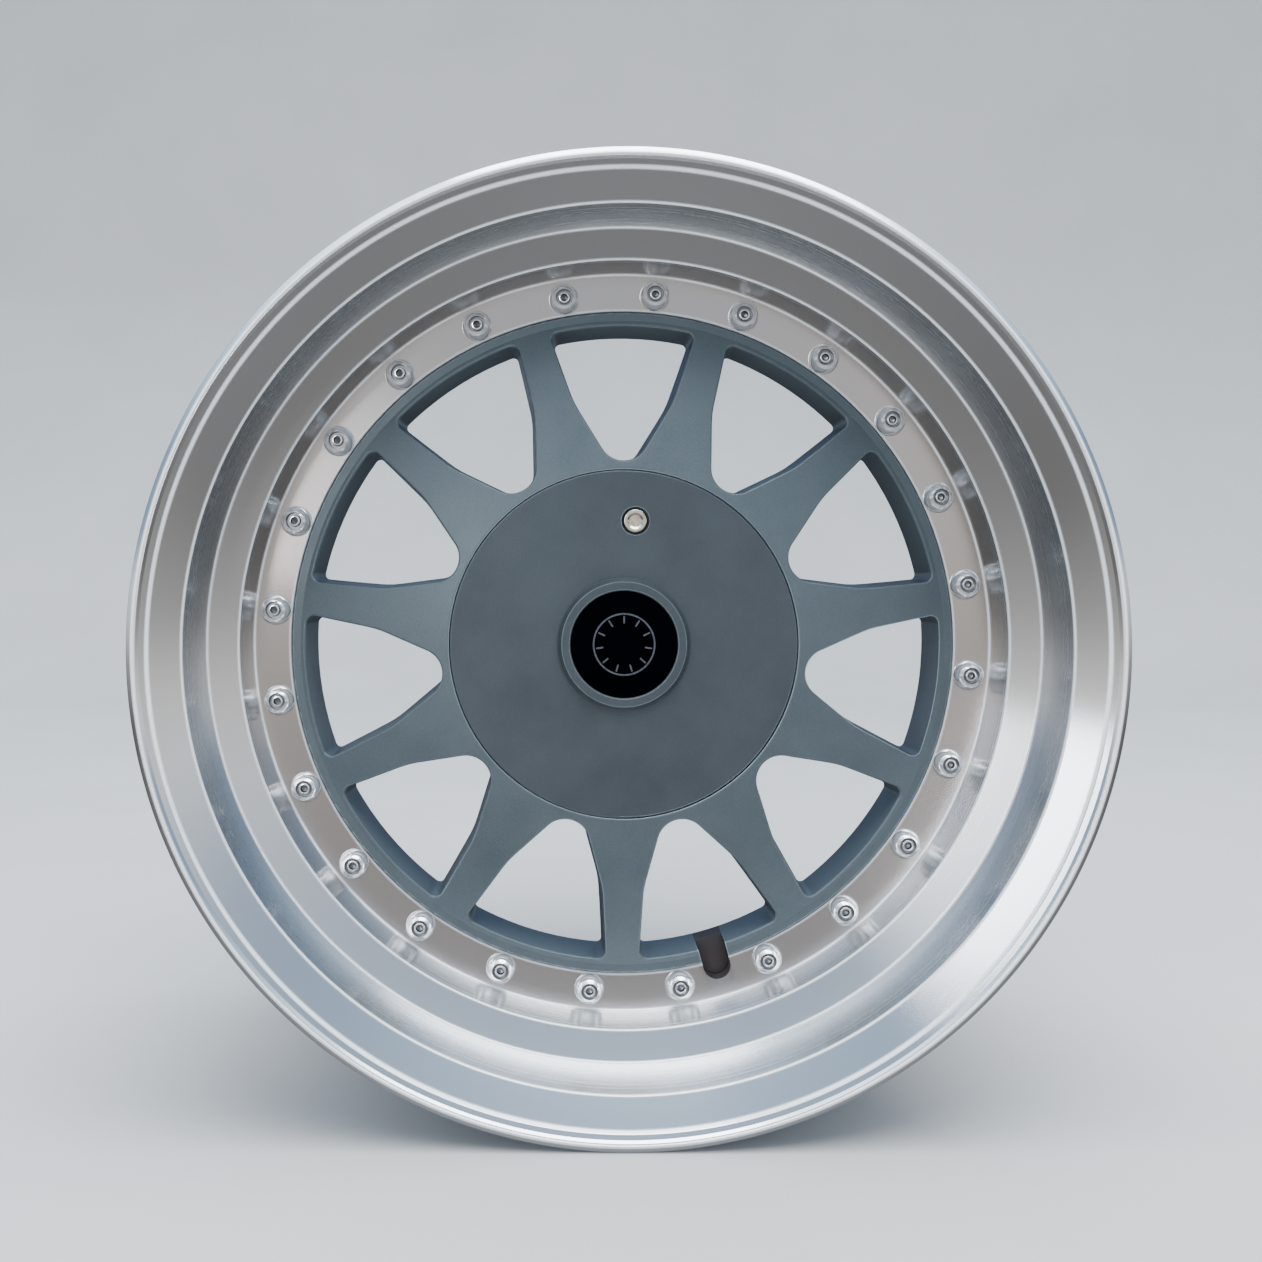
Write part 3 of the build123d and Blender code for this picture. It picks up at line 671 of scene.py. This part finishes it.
def build_floor():
    """A pale floor that sweeps up into a wall far behind the wheel."""
    half_width, near, wall, height, sweep_r = 7.0, -4.0, 3.2, 5.0, 1.2
    profile = [(near, 0.0)]
    for k in range(17):
        angle = math.pi / 2 * k / 16
        profile.append((wall - sweep_r + sweep_r * math.sin(angle), sweep_r - sweep_r * math.cos(angle)))
    profile.append((wall, height))
    bm = bmesh.new()
    rows = [[bm.verts.new((x, y, FLOOR_Z + z)) for x in (-half_width, half_width)] for y, z in profile]
    for low, high in zip(rows, rows[1:]):
        bm.faces.new((low[0], low[1], high[1], high[0]))
    floor = new_object("floor", bm)
    floor.data.materials.append(floor_material())
    floor.visible_glossy = False


def build_world():
    """Soft light from all round: pale above, a bright band at the horizon, duller below."""
    world = bpy.data.worlds.new("soft_studio")
    bpy.context.scene.world = world
    world.use_nodes = True
    tree = world.node_tree
    direction = tree.nodes.new("ShaderNodeTexCoord").outputs["Generated"]
    split = tree.nodes.new("ShaderNodeSeparateXYZ")
    tree.links.new(direction, split.inputs[0])
    height = tree.nodes.new("ShaderNodeMapRange")
    height.inputs["From Min"].default_value = -1.0
    height.inputs["From Max"].default_value = 1.0
    tree.links.new(split.outputs["Z"], height.inputs["Value"])
    ramp = tree.nodes.new("ShaderNodeValToRGB")
    stops = (
        (0.00, (0.40, 0.41, 0.42)),
        (0.22, (0.26, 0.255, 0.25)),
        (0.40, (0.17, 0.163, 0.157)),
        (0.46, (0.38, 0.36, 0.345)),
        (0.50, (0.72, 0.69, 0.66)),
        (0.545, (0.82, 0.84, 0.86)),
        (0.60, (0.34, 0.42, 0.53)),
        (0.68, (0.34, 0.44, 0.58)),
        (0.80, (0.80, 0.95, 1.10)),
        (1.00, (2.80, 2.95, 3.10)),
    )
    elements = ramp.color_ramp.elements
    elements[0].position, elements[0].color = stops[0][0], (*stops[0][1], 1)
    elements[1].position, elements[1].color = stops[-1][0], (*stops[-1][1], 1)
    for position, color in stops[1:-1]:
        elements.new(position).color = (*color, 1)
    tree.links.new(height.outputs["Result"], ramp.inputs["Fac"])
    # dimmer and bluer behind the wheel than in front of it
    behind = tree.nodes.new("ShaderNodeMapRange")
    behind.inputs["From Min"].default_value = -0.2
    behind.inputs["From Max"].default_value = 0.4
    tree.links.new(split.outputs["Y"], behind.inputs["Value"])
    shade = tree.nodes.new("ShaderNodeMix")
    shade.data_type = "RGBA"
    shade.blend_type = "MULTIPLY"
    tree.links.new(behind.outputs["Result"], shade.inputs[0])
    tree.links.new(ramp.outputs["Color"], shade.inputs[6])
    shade.inputs[7].default_value = (0.50, 0.57, 0.70, 1)
    # the sky lights the wheel, but past the edges of the floor only a plain backdrop shows
    seen = tree.nodes.new("ShaderNodeLightPath").outputs["Is Camera Ray"]
    shown = tree.nodes.new("ShaderNodeMix")
    shown.data_type = "RGBA"
    tree.links.new(seen, shown.inputs[0])
    tree.links.new(shade.outputs[2], shown.inputs[6])
    shown.inputs[7].default_value = (0.60, 0.61, 0.62, 1)
    background = tree.nodes["Background"]
    tree.links.new(shown.outputs[2], background.inputs["Color"])
    background.inputs["Strength"].default_value = 1.0


def add_softbox(name, location, target, size, power):
    light = bpy.data.lights.new(name, "AREA")
    light.shape = "RECTANGLE"
    light.size, light.size_y = size
    light.energy = power
    holder = bpy.data.objects.new(name, light)
    holder.location = location
    holder.rotation_euler = (Vector(target) - Vector(location)).to_track_quat("-Z", "Y").to_euler()
    bpy.context.scene.collection.objects.link(holder)


def build_camera():
    """Close to the wheel, a little above and left of its axis, looking straight along it."""
    distance_m = 0.555
    left_m, above_m = 0.0267, 0.0271
    data = bpy.data.cameras.new("camera")
    data.sensor_width = 36.0
    data.lens = 38.57
    data.shift_x = 0.053
    data.shift_y = -0.0376
    data.clip_start = 0.01
    camera = bpy.data.objects.new("camera", data)
    camera.location = (-left_m, FRONT_Y - distance_m, above_m)
    camera.rotation_euler = (math.pi / 2, 0, 0)
    bpy.context.scene.collection.objects.link(camera)
    bpy.context.scene.camera = camera


bpy.context.scene.view_settings.look = "AgX - Medium High Contrast"
build_floor()
build_world()
add_softbox("overhead_softbox", (0.3, -0.7, 2.0), (0, 0, 0), (1.8, 1.8), 34)
add_softbox("side_softbox", (-0.95, -2.6, 0.50), (0, 0, 0), (0.5, 0.9), 9)
build_camera()
